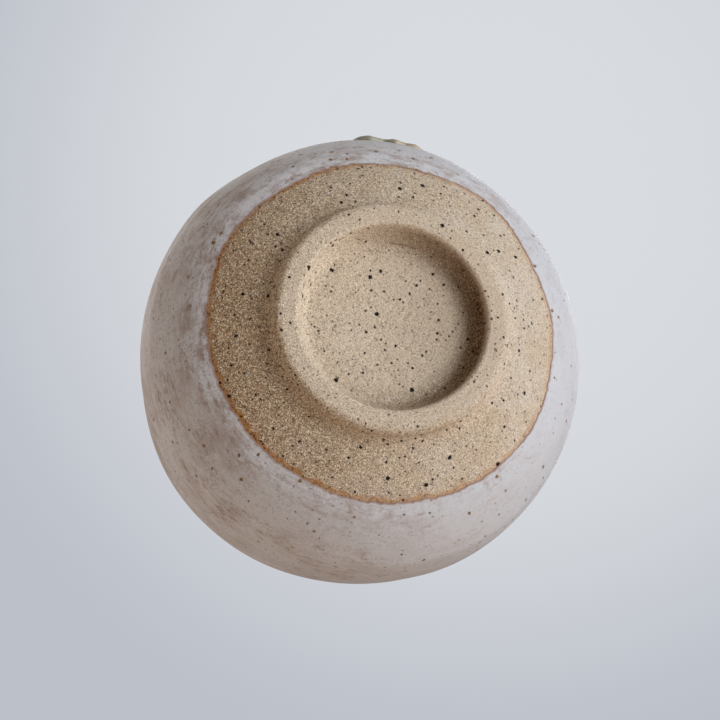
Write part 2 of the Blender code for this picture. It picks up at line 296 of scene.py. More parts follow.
@dataclass(frozen=True)
class Clay:
    """Turned section of the clay, with the sizes of the CAD solids."""

    body_height: float = 74.0
    belly_radius: float = 61.5
    belly_height: float = 43.5
    underside_drop: float = 4.2
    underside_fullness: float = 2.5
    lip_radius: float = 58.6
    lip_thickness: float = 4.0
    waist_depth: float = 0.5
    wall_at_belly: float = 4.8
    floor_thickness: float = 5.7
    inner_fullness: float = 2.7
    pool_radius: float = 20.0
    pool_depth: float = 1.3
    pool_slope: float = 7.0
    ridge_height: float = 29.0
    ridge_rise: float = 0.30
    ridge_width: float = 2.4
    seat_height: float = 6.0
    recess_lip: float = 25.5
    recess_lip_height: float = 0.315
    recess_depth: float = 7.0
    recess_wall: float = 4.4
    recess_ease: float = 0.65
    recess_dish: float = 1.2

    @property
    def underside_depth(self) -> float:
        """Depth of the lower wall's curve below the belly."""
        return self.belly_height - self.seat_height + self.underside_drop

    @property
    def lip_foot(self) -> float:
        """Height at which the wall goes over into the round of the lip."""
        return self.body_height - self.lip_thickness / 2.0

    def wall_height(self, radius: Array) -> Array:
        """Height of the outside at a radius: the highest of a superellipse, the flat seat and the recess.

        Args:
            radius: Distance from the axis.

        Returns:
            Height above the foot's land.
        """
        share = np.clip(radius / self.belly_radius, 0.0, 1.0) ** self.underside_fullness
        fall = (1.0 - share) ** (1.0 / self.underside_fullness)
        curved = self.belly_height - self.underside_depth * fall
        return np.maximum(np.maximum(curved, self.seat_height), self.recess_height(radius))

    def recess_height(self, radius: Array) -> Array:
        """Height of the recess: an S curve, 3u^2 - 2u^3, from the lip down the wall, then the dish.

        Args:
            radius: Distance from the axis.

        Returns:
            Height above the foot's land.
        """
        inward = np.clip((self.recess_lip - radius) / self.recess_wall, 0.0, 1.0) ** self.recess_ease
        dish = self.recess_dish * (1.0 - smooth(radius / (self.recess_lip - self.recess_wall)))
        wall = (self.recess_depth - self.recess_lip_height) * smooth(inward)
        return self.recess_lip_height + wall + dish

    def recess_radius(self, height: Array) -> Array:
        """Radius of the recess at a height: the same curve, read the other way.

        Args:
            height: Height above the foot's land.

        Returns:
            Distance from the axis.
        """
        share = (height - self.recess_lip_height) / (self.recess_depth - self.recess_lip_height)
        inward = 0.5 - np.sin(np.arcsin(1.0 - 2.0 * np.clip(share, 0.0, 1.0)) / 3.0)
        return self.recess_lip - self.recess_wall * inward ** (1.0 / self.recess_ease)

    def wall_radius(self, height: Array) -> Array:
        """Radius of the outside at a height below the belly: the same superellipse, read the other way.

        Args:
            height: Height above the foot's land.

        Returns:
            Distance from the axis.
        """
        below = np.maximum(0.0, self.belly_height - height)
        share = (below / self.underside_depth) ** self.underside_fullness
        return self.belly_radius * (1.0 - share) ** (1.0 / self.underside_fullness)

    def ridge(self, height: Array) -> Array:
        """Bell-shaped rise of the turning ridge round the wall."""
        return self.ridge_rise * np.exp(-(((height - self.ridge_height) / self.ridge_width) ** 2))

    def wall(self, start: float, rows: int) -> Array:
        """Outside from a height below the belly up to the foot of the lip's round.

        Args:
            start: Height of the first point.
            rows: Points below the belly, and as many above it.

        Returns:
            Radius and height of each point.
        """
        low = np.linspace(start, self.belly_height, rows, endpoint=False)
        lower = np.stack([self.wall_radius(low) + self.ridge(low), low], axis=1)
        t = np.linspace(0.0, 1.0, rows)
        high = self.belly_height + (self.lip_foot - self.belly_height) * t
        waist = self.waist_depth * np.sin(math.pi * t) ** 2
        leaning = (self.lip_radius - self.belly_radius) * t * t
        radius = self.belly_radius + leaning - waist + self.ridge(high)
        return np.concatenate([lower, np.stack([radius, high], axis=1)])

    def lip(self, rows: int) -> Array:
        """Half circle over the lip, outside to inside, ends left out.

        Args:
            rows: Number of points.

        Returns:
            Radius and height of each point.
        """
        turn = np.linspace(0.0, math.pi, rows + 2)[1:-1]
        half = self.lip_thickness / 2.0
        radius = self.lip_radius - half + half * np.cos(turn)
        return np.stack([radius, self.lip_foot + half * np.sin(turn)], axis=1)

    def inside(self, rows: int) -> Array:
        """Inside from the lip down to the axis: a parabola, then a superellipse less the tea pool.

        Args:
            rows: Points above the belly. Four times as many lie below it.

        Returns:
            Radius and height of each point.
        """
        belly = self.belly_radius - self.wall_at_belly
        lip = self.lip_radius - self.lip_thickness
        depth = self.belly_height - self.recess_depth - self.floor_thickness
        t = np.linspace(1.0, 0.0, rows, endpoint=False)
        high = self.belly_height + (self.lip_foot - self.belly_height) * t
        upper = np.stack([belly + (lip - belly) * t * t, high], axis=1)
        angle = np.linspace(0.0, math.pi / 2.0, 4 * rows)
        radius = belly * np.maximum(0.0, np.cos(angle)) ** (2.0 / self.inner_fullness)
        radius[-1] = 0.0
        height = self.belly_height - depth * np.sin(angle) ** (2.0 / self.inner_fullness)
        from_pool = (radius - self.pool_radius + self.pool_slope) / self.pool_slope
        pool = self.pool_depth * (1.0 - smooth(from_pool))
        return np.concatenate([upper, np.stack([radius, height - pool], axis=1)])


@dataclass(frozen=True)
class Hand:
    """What the maker's hand does to a true turned shape, with the CAD's waves and bulge."""

    wall_waves: Waves = ((2, 0.30, 65.0), (3, 0.25, 330.0), (5, 0.16, 20.0))
    lip_waves: Waves = ((2, 0.35, 110.0), (3, 0.30, 10.0))
    wobble_start: float = 22.0
    turned_waves: Waves = (
        (0, -0.20, 0.0),
        (1, 0.22, 50.0),
        (2, 0.32, 154.0),
        (3, 0.24, 39.0),
        (4, 0.17, 55.0),
        (5, 0.11, 70.0),
    )
    turned_start: float = 14.0
    turned_blend: float = 8.0
    bulges: tuple[tuple[float, float, float, float, float], ...] = (
        (88.0, 10.0, 38.0, 9.0, 0.5),
        (292.0, 21.0, 52.0, 24.0, 1.0),
    )
    lump_rise: float = 0.12
    lump_size: float = 17.0

    def bulge(self, angle: Array, height: Array) -> Array:
        """Bell-shaped rises of the soft bulges: crest, spread, height, reach up and down, rise.

        Args:
            angle: Place round the bowl, in radians.
            height: Height above the foot's land.

        Returns:
            Rise of the wall.
        """
        total = 0.0
        for crest, spread, middle, reach, rise in self.bulges:
            turn = ((np.degrees(angle) - crest + 180.0) % 360.0 - 180.0) / spread
            total = total + rise * np.exp(-(turn**2) - ((height - middle) / reach) ** 2)
        return total

    def turned_share(self, ridge: float, height: Array) -> Array:
        """Share of the turned zone's waves: full at the turning ridge, fading below and above."""
        below = smooth((height - self.turned_start) / (ridge - self.turned_start))
        return below * (1.0 - smooth((height - ridge) / self.turned_blend))

    def shape(self, clay: Clay, radius: Array, angle: Array, height: Array) -> Array:
        """Move points of the true shape to where the hand leaves them.

        Args:
            clay: Section whose height and lip set how the wobble grows.
            radius: Distance from the axis.
            angle: Place round the bowl, in radians.
            height: Height above the foot's land.

        Returns:
            Points, three on the last axis.
        """
        ramp = smooth((height - self.wobble_start) / (clay.body_height - self.wobble_start))
        reach = np.minimum(1.0, radius / clay.lip_radius)
        turned = waves(self.turned_waves, angle) * self.turned_share(clay.ridge_height, height)
        shift = (waves(self.wall_waves, angle) * ramp + turned) * reach
        shift = shift + self.bulge(angle, height) * smooth(reach)
        soft = places(radius, angle, height)
        shift = shift + self.lump_rise * lumps(soft, self.lump_size, Pattern.WALL_LUMPS) * ramp * reach
        return places(radius + shift, angle, height + waves(self.lip_waves, angle) * ramp**2)


@dataclass(frozen=True)
class GlazeLine:
    """Wandering lower edge of the dipped glaze, the same for the bare clay and for the glaze."""

    height: float = 12.3
    fade: float = 9.0
    fine_fade: float = 3.0
    edge_waves: Waves = (
        (1, 0.15, 120.0),
        (3, 0.39, 51.0),
        (4, 0.32, 80.0),
        (5, 0.15, 37.0),
        (6, 0.14, 1.0),
        (7, 0.22, 21.0),
        (8, 0.18, 36.0),
        (9, 0.10, 14.0),
        (10, 0.10, 1.0),
    )
    ragged: Layers = ((4.0, 0.22), (1.7, 0.20), (0.8, 0.15))

    def slide(self, clay: Clay, angle: Array, height: Array) -> Array:
        """Slide of the glaze out along the wall: long waves, and short ones only near the edge.

        Args:
            clay: Section that the glaze lies on.
            angle: Place round the bowl, in radians.
            height: Height of the unslid point.

        Returns:
            Outward slide in millimetres.
        """
        line = places(clay.wall_radius(np.array(self.height)), angle, np.zeros_like(angle))
        fine = layers(line, self.ragged, Pattern.GLAZE_EDGE)
        far = (height - self.height) / self.fade
        near = (height - self.height) / self.fine_fade
        return waves(self.edge_waves, angle) * (1.0 - smooth(far)) + fine * (1.0 - smooth(near))


@dataclass(frozen=True)
class Tooling:
    """Fine relief of the bare clay: rings from the trimming tool, soft lumps and small pits."""

    ring_step: float = 1.1
    ring_run: float = 26.0
    ring_rise: float = 0.045
    ring_radius: float = 24.0
    climb: float = 0.6
    lump_sizes: Layers = ((7.0, 0.09), (2.6, 0.05), (1.2, 0.03))
    pit_size: float = 1.9
    pit_level: float = 0.55
    pit_depth: float = 0.22

    def relief(self, points: Array) -> Array:
        """Rise at each point: noise drawn out round the axis, plus round noise, less the pits.

        Args:
            points: Places on the true shape.

        Returns:
            Rise along the surface's normal.
        """
        radius = np.hypot(points[..., 0], points[..., 1])
        angle = np.arctan2(points[..., 1], points[..., 0])
        level = radius + self.climb * points[..., 2]
        turned = places(np.full_like(radius, self.ring_radius), angle, level)
        drawn_out = (self.ring_run, self.ring_run, self.ring_step)
        rings = self.ring_rise * lumps(turned, drawn_out, Pattern.TOOL_RINGS)
        soft = layers(points, self.lump_sizes, Pattern.CLAY_LUMPS)
        over_level = lumps(points, self.pit_size, Pattern.CLAY_PITS) - self.pit_level
        pits = np.maximum(0.0, over_level) / (1.0 - self.pit_level)
        return rings + soft - self.pit_depth * pits


class Recipe:
    """Node tree of one material or of the world, in the making."""

    def __init__(self, owner: bpy.types.Material | bpy.types.World) -> None:
        """Take over the node tree of a new material or world.

        Args:
            owner: The material or world.
        """
        owner.use_nodes = True
        self.owner = owner
        self.tree = owner.node_tree

    def feed(self, node: bpy.types.Node, inputs: dict[str | int, object]) -> None:
        """Link each input that is given a socket, and write each that is given a value.

        Args:
            node: Node that is fed.
            inputs: Sockets and values by the input's name or number.
        """
        for key, value in inputs.items():
            if isinstance(value, Socket):
                self.tree.links.new(value, node.inputs[key])
            else:
                node.inputs[key].default_value = value

    def add(self, kind: str, *values: object, out: str | int = 0, **named: object) -> Socket:
        """Add a node, set its properties, and write or link its inputs.

        Args:
            kind: Node type, without its ShaderNode prefix.
            values: Inputs in the node's own order. MapRange takes a value, two ends and two results.
            out: Output that is wanted.
            named: Inputs by name where the name starts with a capital, and properties where it doesn't.

        Returns:
            The wanted output.
        """
        node = self.tree.nodes.new("ShaderNode" + kind)
        for name, value in named.items():
            if name[0].islower():
                setattr(node, name, value)
        self.feed(node, dict(enumerate(values)))
        self.feed(node, {name: value for name, value in named.items() if name[0].isupper()})
        return node.outputs[out]

    def dress(self, inputs: dict[str | int, object]) -> bpy.types.Material:
        """Feed the material's own shader and give back the material."""
        self.feed(self.tree.nodes["Principled BSDF"], inputs)
        return self.owner

    @cached_property
    def place(self) -> Socket:
        """Object coordinates in metres."""
        return self.add("TexCoord", out="Object")

    @cached_property
    def lie(self) -> Socket:
        """Coordinates that follow the wall: round it and up it, in metres."""
        return self.add("Attribute", out="Vector", attribute_name=Coat.LIE.value)

    @cached_property
    def radius(self) -> Socket:
        """Distance from the bowl's axis, in metres."""
        level = self.add("VectorMath", self.place, (1.0, 1.0, 0.0), operation="MULTIPLY")
        return self.add("VectorMath", level, out="Value", operation="LENGTH")

    def by_side(self, angle: float, reach: float, least: float) -> Socket:
        """Share that rises over the bowl from its least value to 1, towards one side.

        Args:
            angle: Side of the bowl that gets the whole share, in degrees.
            reach: Distance from the axis, in millimetres, over which the share rises.
            least: Share on the far side.

        Returns:
            The share.
        """
        side = (math.cos(math.radians(angle)), math.sin(math.radians(angle)), 0.0)
        along = self.add("VectorMath", self.place, side, out="Value", operation="DOT_PRODUCT")
        return self.add("MapRange", along, -reach * MM, reach * MM, least, 1.0)

    def mottle(
        self,
        size: float,
        detail: float = 2.0,
        roughness: float = 0.5,
        over: Socket | None = None,
        flatten: float = 1.0,
    ) -> Socket:
        """Mottling of one size, flattened where it follows the throwing lines.

        Args:
            size: Width of a spot in millimetres.
            detail: Number of finer layers.
            roughness: Weight of the finer layers.
            over: Coordinates, the object's own if none are given.
            flatten: Number of times that a spot is wider than it is high.

        Returns:
            Level at each point, about a half.
        """
        where = over or self.place
        if flatten != 1.0:
            where = self.add("Mapping", Vector=where, Scale=(1.0, 1.0, flatten))
        finer = {"Detail": detail, "Roughness": roughness}
        return self.add("TexNoise", Vector=where, Scale=1.0 / (size * MM), **finer)

    def patches(
        self, size: float, low: float, high: float, most: float = 1.0, least: float = 0.0, **finer: object
    ) -> Socket:
        """Patches cut from mottling.

        Args:
            size: Width of a patch in millimetres.
            low: Level of the mottling at which a patch starts.
            high: Level at which it is full.
            most: Result in the patches.
            least: Result outside them.
            finer: Further arguments of the mottling.

        Returns:
            The share at each point.
        """
        return self.add("MapRange", self.mottle(size, **finer), low, high, least, most)

    def tint(self, ground: Socket | str, over: Socket | str, *shares: Socket | float) -> Socket:
        """Lay a colour over another by the product of some shares.

        Args:
            ground: Colour below, a socket or an sRGB hex value.
            over: Colour above.
            shares: Shares from 0 to 1 that are multiplied.

        Returns:
            The mixed colour.
        """
        share = shares[0]
        for other in shares[1:]:
            share = self.add("Math", share, other, operation="MULTIPLY")
        mixed = self.add("Mix", share, out=2, data_type="RGBA")
        below, above = (linear(colour) if isinstance(colour, str) else colour for colour in (ground, over))
        self.feed(mixed.node, {6: below, 7: above})
        return mixed


@dataclass(frozen=True)
class Specks:
    """Grains scattered through a material: balls cut by the surface, so each is a dot of its own size."""

    spacing: float
    largest: float
    rarity: float
    ragged: float
    colour: str
    strength: float = 1.0
    softness: float = 0.12
    grit: float = 0.45
    lost: float = 0.15

    def over(self, recipe: Recipe, ground: Socket) -> Socket:
        """Lay the grains over a colour: balls round cell centres, their surface stirred by fine noise.

        Args:
            recipe: Node tree of the finish.
            ground: Colour under the grains.

        Returns:
            Colour with the grains.
        """
        rough = recipe.mottle(self.grit, 1.0).node.outputs["Color"]
        centred = recipe.add("VectorMath", rough, (0.5,) * 3, operation="SUBTRACT")
        stir = (self.ragged * MM,) * 3
        moved = recipe.add("VectorMath", centred, stir, recipe.place, operation="MULTIPLY_ADD")
        distance = recipe.add("TexVoronoi", Vector=moved, Scale=1.0 / (self.spacing * MM))
        chance = recipe.add("SeparateColor", distance.node.outputs["Color"])
        rare = recipe.add("Math", chance, self.rarity, operation="POWER")
        largest, soft = self.largest / self.spacing, self.softness / self.spacing
        reach = recipe.add("Math", rare, largest, -self.lost * largest, operation="MULTIPLY_ADD")
        inside = recipe.add("Math", reach, distance, operation="SUBTRACT")
        mask = recipe.add("MapRange", inside, -soft, soft, 0.0, self.strength)
        return recipe.tint(ground, self.colour, mask)


@dataclass(frozen=True)
class BareStoneware:
    """Unglazed stoneware with sandy grog, fired to cone 8 or so: open, matt, flecked with iron.

    The eye sees a sandy beige ground of light and dark grains, black iron specks with ragged outlines,
    and an orange-brown line where the glaze drew the iron out of the clay at its edge. The wall is
    darker and warmer towards one side as painted shade, the turned foot is paler, and the far wall of
    the recess carries a painted brown shadow.
    """

    name: str = "grogged_stoneware_bare"
    ground: str = "#c8b8a6"
    warm: str = "#bda78c"
    turned: str = "#d1bda4"
    turned_share: float = 0.75
    turned_grain: float = 0.7
    # Painted shade: browner, darker clay towards the side of the wall that lies in shade.
    side_shade: str = "#b2906d"
    shaded_side: float = 45.0
    side_shade_reach: float = 42.0
    side_shade_power: float = 2.2
    # Painted shadow: dark brown laid on the far wall of the recess and the floor beside it, where the lip's
    # shadow falls.
    recess_shadow: str = "#664424"
    shadow_side: float = 238.0
    shadow_reach: float = 22.0
    shadow_power: float = 1.4
    foot_edge: tuple[float, float] = (29.0 * MM, 31.8 * MM)
    grain_edge: tuple[float, float] = (29.0 * MM, 34.0 * MM)
    # Radii where the painted recess shadow grows from the floor towards the wall, and where it stops at the
    # lip.
    recess_shade: tuple[float, float] = (16.5 * MM, 24.2 * MM)
    recess_lip: tuple[float, float] = (24.6 * MM, 25.6 * MM)
    pale_grain: str = "#fbebcc"
    dark_grain: str = "#634d38"
    flash: str = "#b9824a"
    flash_dot: str = "#5a3019"
    flash_width: float = 1.5
    flash_side: float = 45.0
    roughness: float = 0.88

    def make(self) -> bpy.types.Material:
        """Build the material: ground, paler foot and painted shade, sand, flashing line and iron specks,
        over grit.

        Returns:
            The material.
        """
        recipe = Recipe(bpy.data.materials.new(self.name))
        mottle = recipe.patches(size=11.0, low=0.35, high=0.68, detail=4.0, roughness=0.6)
        colour = self.foot_tone_and_painted_shade(recipe, recipe.tint(self.ground, self.warm, mottle))
        colour = self.flashing(recipe, self.grains(recipe, colour))
        for specks in IRON_SPECKS:
            colour = specks.over(recipe, colour)
        relief = self.relief(recipe)
        matt = {"Roughness": self.roughness, "Specular IOR Level": 0.25}
        return recipe.dress({"Base Color": colour, "Normal": relief, **matt})

    def foot_tone_and_painted_shade(self, recipe: Recipe, ground: Socket) -> Socket:
        """Paler clay on the turned foot, a painted shadow in the recess, and painted shade on one side of
        the wall.

        Args:
            recipe: Node tree of the finish.
            ground: Colour of the clay.

        Returns:
            Colour with the zones.
        """
        # Painted shade: the wall browns and darkens towards its shaded side.
        near_side = recipe.by_side(self.shaded_side, self.side_shade_reach, least=0.0)
        side_shade = recipe.add("Math", near_side, self.side_shade_power, operation="POWER")
        wall = recipe.tint(ground, self.side_shade, side_shade)
        foot = recipe.tint(ground, self.turned, self.turned_share)
        # Painted shadow: the far wall of the recess is darkened towards one side, where the lip's shadow
        # falls.
        deeper = recipe.add("MapRange", recipe.radius, *self.recess_shade, **EASED)
        lip = recipe.add("MapRange", recipe.radius, *self.recess_lip, 1.0, 0.0, **EASED)
        shadow_side_share = recipe.by_side(self.shadow_side, self.shadow_reach, least=0.0)
        shadow_share = recipe.add("Math", shadow_side_share, self.shadow_power, operation="POWER")
        inside = recipe.tint(foot, self.recess_shadow, deeper, lip, shadow_share)
        outside = recipe.add("MapRange", recipe.radius, *self.foot_edge, **EASED)
        return recipe.tint(inside, wall, outside)

    def grains(self, recipe: Recipe, ground: Socket) -> Socket:
        """Lay light and dark sand grains over the ground colour, in three sizes, stronger towards the shaded
        side as painted shade.

        Args:
            recipe: Node tree of the finish.
            ground: Colour under the grains.

        Returns:
            Colour with the grains.
        """
        # Painted shade: real grains, given more contrast towards the shaded side to stand in for the shade
        # of the grit under raking light.
        near_side = recipe.by_side(self.shaded_side, reach=45.0, least=0.35)
        open_wall = recipe.add("MapRange", recipe.radius, *self.grain_edge, self.turned_grain, 1.0)
        for size, colour, low, high, share in (
            (0.42, self.dark_grain, 0.51, 0.64, 1.0),
            (0.31, self.pale_grain, 0.51, 0.63, 1.0),
            (0.95, self.dark_grain, 0.58, 0.72, 0.5),
        ):
            sand = recipe.mottle(size, 1.0)
            sand.node.noise_dimensions = "4D"
            recipe.feed(sand.node, {"W": 10.0 * low + size})
            level = recipe.add("MapRange", sand, low, high, 0.0, share)
            ground = recipe.tint(ground, colour, level, near_side, open_wall)
        return ground

    def flashing(self, recipe: Recipe, ground: Socket) -> Socket:
        """Orange-brown line along the glaze, of uneven width and strength, with darker dots in it.

        Args:
            recipe: Node tree of the finish.
            ground: Colour of the clay beside the line.

        Returns:
            Colour with the line.
        """
        away = recipe.add("Attribute", out="Fac", attribute_name=Coat.BARE.value)
        widest, narrowed = 3.0 * self.flash_width, -0.6 * self.flash_width
        uneven = recipe.mottle(size=2.2, detail=4.0)
        width = recipe.add("Math", uneven, widest, narrowed, operation="MULTIPLY_ADD")
        share = recipe.add("Math", away, width, operation="DIVIDE")
        band = recipe.add("MapRange", share, 0.45, 1.2, 0.95, 0.0, **EASED)
        strength = recipe.patches(size=19.0, low=0.35, high=0.6, least=0.55, detail=1.0)
        near_side = recipe.by_side(self.flash_side, reach=40.0, least=0.4)
        line = recipe.tint(self.flash, self.flash_dot, recipe.patches(size=0.7, low=0.52, high=0.66))
        return recipe.tint(ground, line, band, near_side, strength)

    def relief(self, recipe: Recipe) -> Socket:
        """Sandy surface, as a bumped normal: grit of about half a millimetre over finer grit.

        Args:
            recipe: Node tree of the finish.

        Returns:
            The normal.
        """
        fine = recipe.add("TexVoronoi", Vector=recipe.place, Scale=1.0 / (0.5 * MM))
        coarse = recipe.mottle(size=0.9, detail=3.0)
        height = recipe.add("Math", fine, -0.5, coarse, operation="MULTIPLY_ADD")
        return recipe.add("Bump", Height=height, Strength=0.55, Distance=0.25 * MM)


IRON_SPECKS = (
    Specks(spacing=1.1, largest=0.34, rarity=2.6, ragged=0.35, colour="#3d3025", strength=0.8),
    Specks(spacing=1.5, largest=0.48, rarity=1.7, ragged=0.5, colour="#1c1410"),
    Specks(spacing=3.1, largest=0.80, rarity=2.0, ragged=0.7, colour="#17110e"),
    Specks(spacing=8.0, largest=0.60, rarity=2.6, ragged=0.9, colour="#dfe3ec", strength=0.6),
)


@dataclass(frozen=True)
class SatinGlaze:
    """Feldspar-white satin glaze over iron-bearing stoneware, dipped or poured by hand.

    The eye sees a soft white that browns where the coat is thin over the throwing lines, rust smudges beside
    its edge, broken rust lines, and rust specks that bled through from the clay.
    """

    name: str
    white: str = "#dcdad9"
    lit_side_grey: str = "#c5c4c5"
    thin: str = "#aa9384"
    thin_share: float = 0.56
    # Side where the thin stains, rust lines and grains are strongest, and towards which the ground whitens
    # as painted light.
    thin_side: float = 60.0
    side_reach: float = 50.0
    breaks: str = "#8c6650"
    grain: str = "#a2938b"
    smudge: str = "#8a6344"
    smudge_share: float = 0.75
    smudge_side: float = 75.0
    edge_thin: str = "#8d5f3f"
    roughness: float = 0.48

    def make(self) -> bpy.types.Material:
        """Build the material: a ground whiter towards its shaded side as painted light, stains, rust lines,
        edge, grains and specks.

        Returns:
            The material.
        """
        recipe = Recipe(bpy.data.materials.new(self.name))
        # Painted light: the coat is whiter towards the shaded side and greyer on the lit side.
        painted_light_side = recipe.by_side(self.thin_side, self.side_reach, least=0.0)
        colour = recipe.tint(self.lit_side_grey, self.white, painted_light_side)
        for lay in (self.thin_places, self.rust_lines, self.gathered_edge, self.grains):
            colour = lay(recipe, colour)
        for specks in GLAZE_SPECKS:
            colour = specks.over(recipe, colour)
        shiny, dull = self.roughness - 0.05, self.roughness + 0.1
        gloss = recipe.patches(size=18.0, low=0.3, high=0.7, most=dull, least=shiny, detail=3.0)
        satin = {"Roughness": gloss, "Specular IOR Level": 0.2}
        return recipe.dress({"Base Color": colour, "Normal": self.relief(recipe), **satin})

    def thin_places(self, recipe: Recipe, ground: Socket) -> Socket:
        """Pinkish-brown stains along the throwing rings, where the coat is thin.

        Args:
            recipe: Node tree of the finish.
            ground: Colour of the thick glaze.

        Returns:
            Colour with the stains.
        """
        thin = recipe.add("Attribute", out="Fac", attribute_name=Coat.THIN.value)
        streaks = recipe.mottle(size=6.5, detail=6.0, roughness=0.78, over=recipe.lie, flatten=2.4)
        clouds = recipe.mottle(size=15.0, detail=3.0, roughness=0.55)
        summed = recipe.add("Math", clouds, 0.9, streaks, operation="MULTIPLY_ADD")
        pushed = recipe.add("Math", thin, 0.3, summed, operation="MULTIPLY_ADD")
        share = recipe.add("MapRange", pushed, 1.08, 1.42, 0.0, self.thin_share, **EASED)
        near_side = recipe.by_side(self.thin_side, self.side_reach, least=0.35)
        return recipe.tint(ground, self.thin, share, near_side)

    def rust_lines(self, recipe: Recipe, ground: Socket) -> Socket:
        """Fine broken lines along the throwing rings: where slow noise crosses one level.

        Args:
            recipe: Node tree of the finish.
            ground: Colour of the coat.

        Returns:
            Colour with the lines.
        """
        level = recipe.mottle(size=19.0, detail=5.0, roughness=0.55, over=recipe.lie, flatten=3.2)
        off = recipe.add("Math", level, 0.54, operation="SUBTRACT")
        apart = recipe.add("Math", off, operation="ABSOLUTE")
        line = recipe.add("MapRange", apart, 0.0, 0.026, 0.85, 0.0)
        broken = recipe.patches(size=15.0, low=0.38, high=0.58, detail=3.0, roughness=0.55)
        dashes = recipe.patches(size=1.7, low=0.40, high=0.58, over=recipe.lie)
        near_side = recipe.by_side(self.thin_side, self.side_reach, least=0.35)
        return recipe.tint(ground, self.breaks, line, broken, dashes, near_side)

    def gathered_edge(self, recipe: Recipe, ground: Socket) -> Socket:
        """Rust smudges beside the edge and a thin brown rim, where the coat ran out over the clay.

        Args:
            recipe: Node tree of the finish.
            ground: Colour away from the edge.

        Returns:
            Colour with the edge.
        """
        away = recipe.add("Attribute", out="Fac", attribute_name=Coat.GLAZED.value)
        band = recipe.add("MapRange", away, 2.0, 14.0, self.smudge_share, 0.0, **EASED)
        finer = {"detail": 6.0, "roughness": 0.8, "over": recipe.lie, "flatten": 1.8}
        rust = recipe.patches(size=6.0, low=0.48, high=0.60, **finer)
        near_side = recipe.by_side(self.smudge_side, self.side_reach, least=0.1)
        smudged = recipe.tint(ground, self.smudge, band, near_side, rust)
        rim = recipe.add("MapRange", away, 0.1, 0.8, 0.8, 0.0, **EASED)
        return recipe.tint(smudged, self.edge_thin, rim)

    def grains(self, recipe: Recipe, ground: Socket) -> Socket:
        """Fine grains of clay that show through the coat, in two sizes, thicker in some patches.

        Args:
            recipe: Node tree of the finish.
            ground: Colour of the coat.

        Returns:
            Colour with the grains.
        """
        shown = recipe.patches(size=6.0, low=0.35, high=0.65, least=0.3, detail=3.0)
        near_side = recipe.by_side(self.thin_side, self.side_reach, least=0.25)
        for size, low, high, most in ((0.5, 0.50, 0.66, 0.65), (1.3, 0.52, 0.66, 0.4)):
            grit = recipe.patches(size, low, high, most)
            ground = recipe.tint(ground, self.grain, grit, shown, near_side)
        return ground

    def relief(self, recipe: Recipe) -> Socket:
        """Soft orange peel, brushed along the throwing lines, as a bumped normal.

        Args:
            recipe: Node tree of the finish.

        Returns:
            The normal.
        """
        brushed = recipe.mottle(size=6.0, detail=3.0, over=recipe.lie, flatten=5.0)
        peel = recipe.mottle(size=1.3, detail=3.0)
        height = recipe.add("Math", brushed, 1.4, peel, operation="MULTIPLY_ADD")
        return recipe.add("Bump", Height=height, Strength=0.3, Distance=0.22 * MM)


GLAZE_SPECKS = (
    Specks(spacing=1.2, largest=0.30, rarity=2.0, ragged=0.3, colour="#7b6558", strength=0.6),
    Specks(spacing=2.6, largest=0.46, rarity=2.2, ragged=0.4, colour="#4a3a33", strength=0.9),
    Specks(spacing=2.9, largest=0.72, rarity=1.7, ragged=0.8, colour="#7a5527", strength=0.95),
)


@dataclass(frozen=True)
class AshGlaze:
    """Wood-ash glaze run: glassy grey-green where thick, olive in the drops, cream where it thins."""

    name: str = "wood_ash_glaze_run"
    green: str = "#8a8e7e"
    deep: str = "#4a5142"
    tan: str = "#a89272"
    cream: str = "#cfc5ad"
    tan_side: float = 225.0
    roughness: float = 0.38

    def make(self) -> bpy.types.Material:
        """Build the material: green and olive streaks, tan down one flank, cream at the edge.

        Returns:
            The material.
        """
        recipe = Recipe(bpy.data.materials.new(self.name))
        thin = recipe.add("Attribute", out="Fac", attribute_name=Coat.THIN.value)
        streaks = recipe.mottle(size=3.0, detail=5.0, roughness=0.65, flatten=0.3)
        colour = recipe.tint(self.green, self.deep, recipe.add("MapRange", streaks, 0.42, 0.66))
        flank = recipe.by_side(self.tan_side, reach=16.0, least=0.0)
        wander = recipe.add("Math", streaks, 0.8, flank, operation="MULTIPLY_ADD")
        colour = recipe.tint(colour, self.tan, recipe.add("MapRange", wander, 1.02, 1.3))
        edge = recipe.add("Math", streaks, 0.7, thin, operation="MULTIPLY_ADD")
        colour = recipe.tint(colour, self.cream, recipe.add("MapRange", edge, 0.75, 1.2, **EASED))
        bump = recipe.add("Bump", Height=streaks, Strength=0.3, Distance=0.3 * MM)
        return recipe.dress({"Base Color": colour, "Roughness": self.roughness, "Normal": bump})


@dataclass
class Piece:
    """Piece of the bowl: one turned grid that stands for one CAD node."""

    clay: Clay
    hand: Hand
    node = ""
    slot = ""

    def grid(self) -> TurnedGrid:
        """Work out the grid of the piece."""
        raise NotImplementedError

    def build(self, finish: bpy.types.Material) -> None:
        """Mesh the grid and put it in the scene in place of the CAD node.

        Args:
            finish: Material of the piece.
        """
        name = self.node + "_surface"
        mesh = self.grid().mesh(name)
        mesh.materials.append(finish)
        piece = bpy.data.objects.new(name, mesh)
        bpy.context.scene.collection.objects.link(piece)
        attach(piece, BODY)
        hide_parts(self.node)
        LOG.info("%s: %d vertices, %d faces", name, len(mesh.vertices), len(mesh.polygons))


